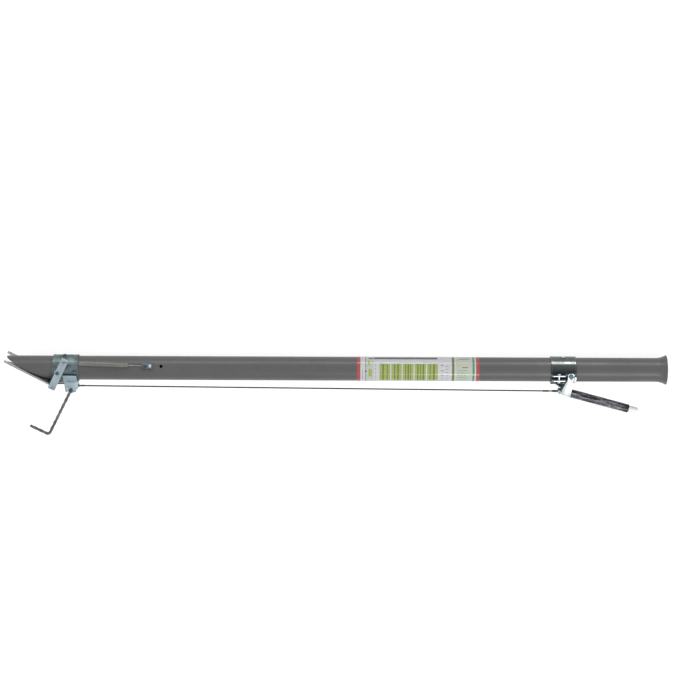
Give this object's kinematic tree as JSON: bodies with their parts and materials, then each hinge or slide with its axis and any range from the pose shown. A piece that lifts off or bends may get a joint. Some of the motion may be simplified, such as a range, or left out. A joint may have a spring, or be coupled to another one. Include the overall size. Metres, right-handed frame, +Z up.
{
  "type": "seedling planting tube",
  "caption": "Hand planting tube: flared mouth, hinged beak opened by a foot bar and shut by a long spring, hand trigger with a pull wire.",
  "frame": {"origin": "middle of the tool's box in x and y, at its lowest point, with the tool lying on its side", "axes": "+X along the tube from the beak to the flared mouth, +Y away from the foot bar, +Z up, along every hinge axis, to the side with the closing spring"},
  "size_m": [1.043, 0.142, 0.0568],
  "materials": {
    "grey_steel": "satin dark grey powder coat on thin steel tube",
    "zinc": "zinc plated steel, slightly hazy",
    "bright_zinc": "bright zinc plated steel",
    "dark_steel": "dark oiled steel",
    "spring_steel": "bare spring steel wire",
    "black_rubber": "glossy black rubber sleeve",
    "white_plastic": "white plastic cap",
    "label_film": "printed film with plain panels and bars"
  },
  "bodies": {
    "tube_body": {"tube": "grey_steel", "lower_collar": "zinc", "lower_collar_screw": "zinc", "pedal_bracket": "zinc", "foot_pivot_bolt": "zinc", "foot_pivot_nut": "zinc", "collar_bolt_near": "zinc", "collar_bolt_far": "zinc", "jaw_pivot_bolt_near": "dark_steel", "jaw_pivot_bolt_far": "dark_steel", "jaw_washer_near": "zinc", "jaw_washer_far": "zinc", "trigger_screw_near": "dark_steel", "trigger_screw_far": "dark_steel", "jaw_spring": "spring_steel", "spring_anchor": "zinc", "anchor_rivet_1": "zinc", "anchor_rivet_2": "zinc", "label": "label_film", "upper_collar": "bright_zinc", "upper_collar_screw": "zinc", "clamp_bolt": "zinc", "clamp_nut": "zinc", "trigger_stop": "dark_steel", "trigger_spring": "spring_steel"},
    "jaw_body": {"moving_jaw": "zinc", "jaw_arm_near": "zinc", "jaw_arm_far": "zinc", "outer_link_pin": "zinc"},
    "link_body": {"link_strap_near": "zinc", "link_strap_far": "zinc", "fork_pin": "zinc"},
    "pedal_body": {"pedal_hub": "bright_zinc", "foot_bar": "dark_steel"},
    "wire_body": {"latch_bolt": "zinc", "pull_wire": "spring_steel", "wire_eye": "zinc"},
    "trigger_body": {"trigger_stirrup": "bright_zinc", "trigger_handle": "bright_zinc", "wire_pin": "zinc", "grip_sleeve": "black_rubber", "grip_end_cap": "white_plastic"}
  },
  "joints": [
    {"name": "jaw_open", "type": "hinge", "parent": "tube_body", "child": "jaw_body", "pos_m": [-0.43866, 0.04562, 0.0282], "axis": [0, 0, 1], "range_deg": [0, 20], "stiffness_Nm_per_rad": 1.5, "springref_deg": -57.3, "deforming": ["jaw_spring"]},
    {"name": "link_swing", "type": "hinge", "parent": "jaw_body", "child": "link_body", "pos_m": [-0.44766, 0.02012, 0.0282], "axis": [0, 0, 1], "range_deg": [-17.2, 0]},
    {"name": "pedal_press", "type": "hinge", "parent": "tube_body", "child": "pedal_body", "pos_m": [-0.42066, 0.00972, 0.0282], "axis": [0, 0, -1], "range_deg": [0, 45.6]},
    {"name": "trigger_squeeze", "type": "hinge", "parent": "tube_body", "child": "trigger_body", "pos_m": [0.37005, 0.04262, 0.0282], "axis": [0, 0, 1], "range_deg": [0, 10], "stiffness_Nm_per_rad": 0.4, "springref_deg": -22.92, "deforming": ["trigger_spring"]},
    {"name": "wire_pull", "type": "slide", "parent": "tube_body", "child": "wire_body", "axis": [1, -0.0081, 0], "range_m": [0, 0.0062]}
  ],
  "couplings": [
    {"joint": "pedal_press", "follows": "jaw_open", "ratio": 2.2735},
    {"joint": "link_swing", "follows": "jaw_open", "ratio": -0.84973},
    {"joint": "wire_pull", "follows": "trigger_squeeze", "m_per_rad": 0.034068}
  ]
}
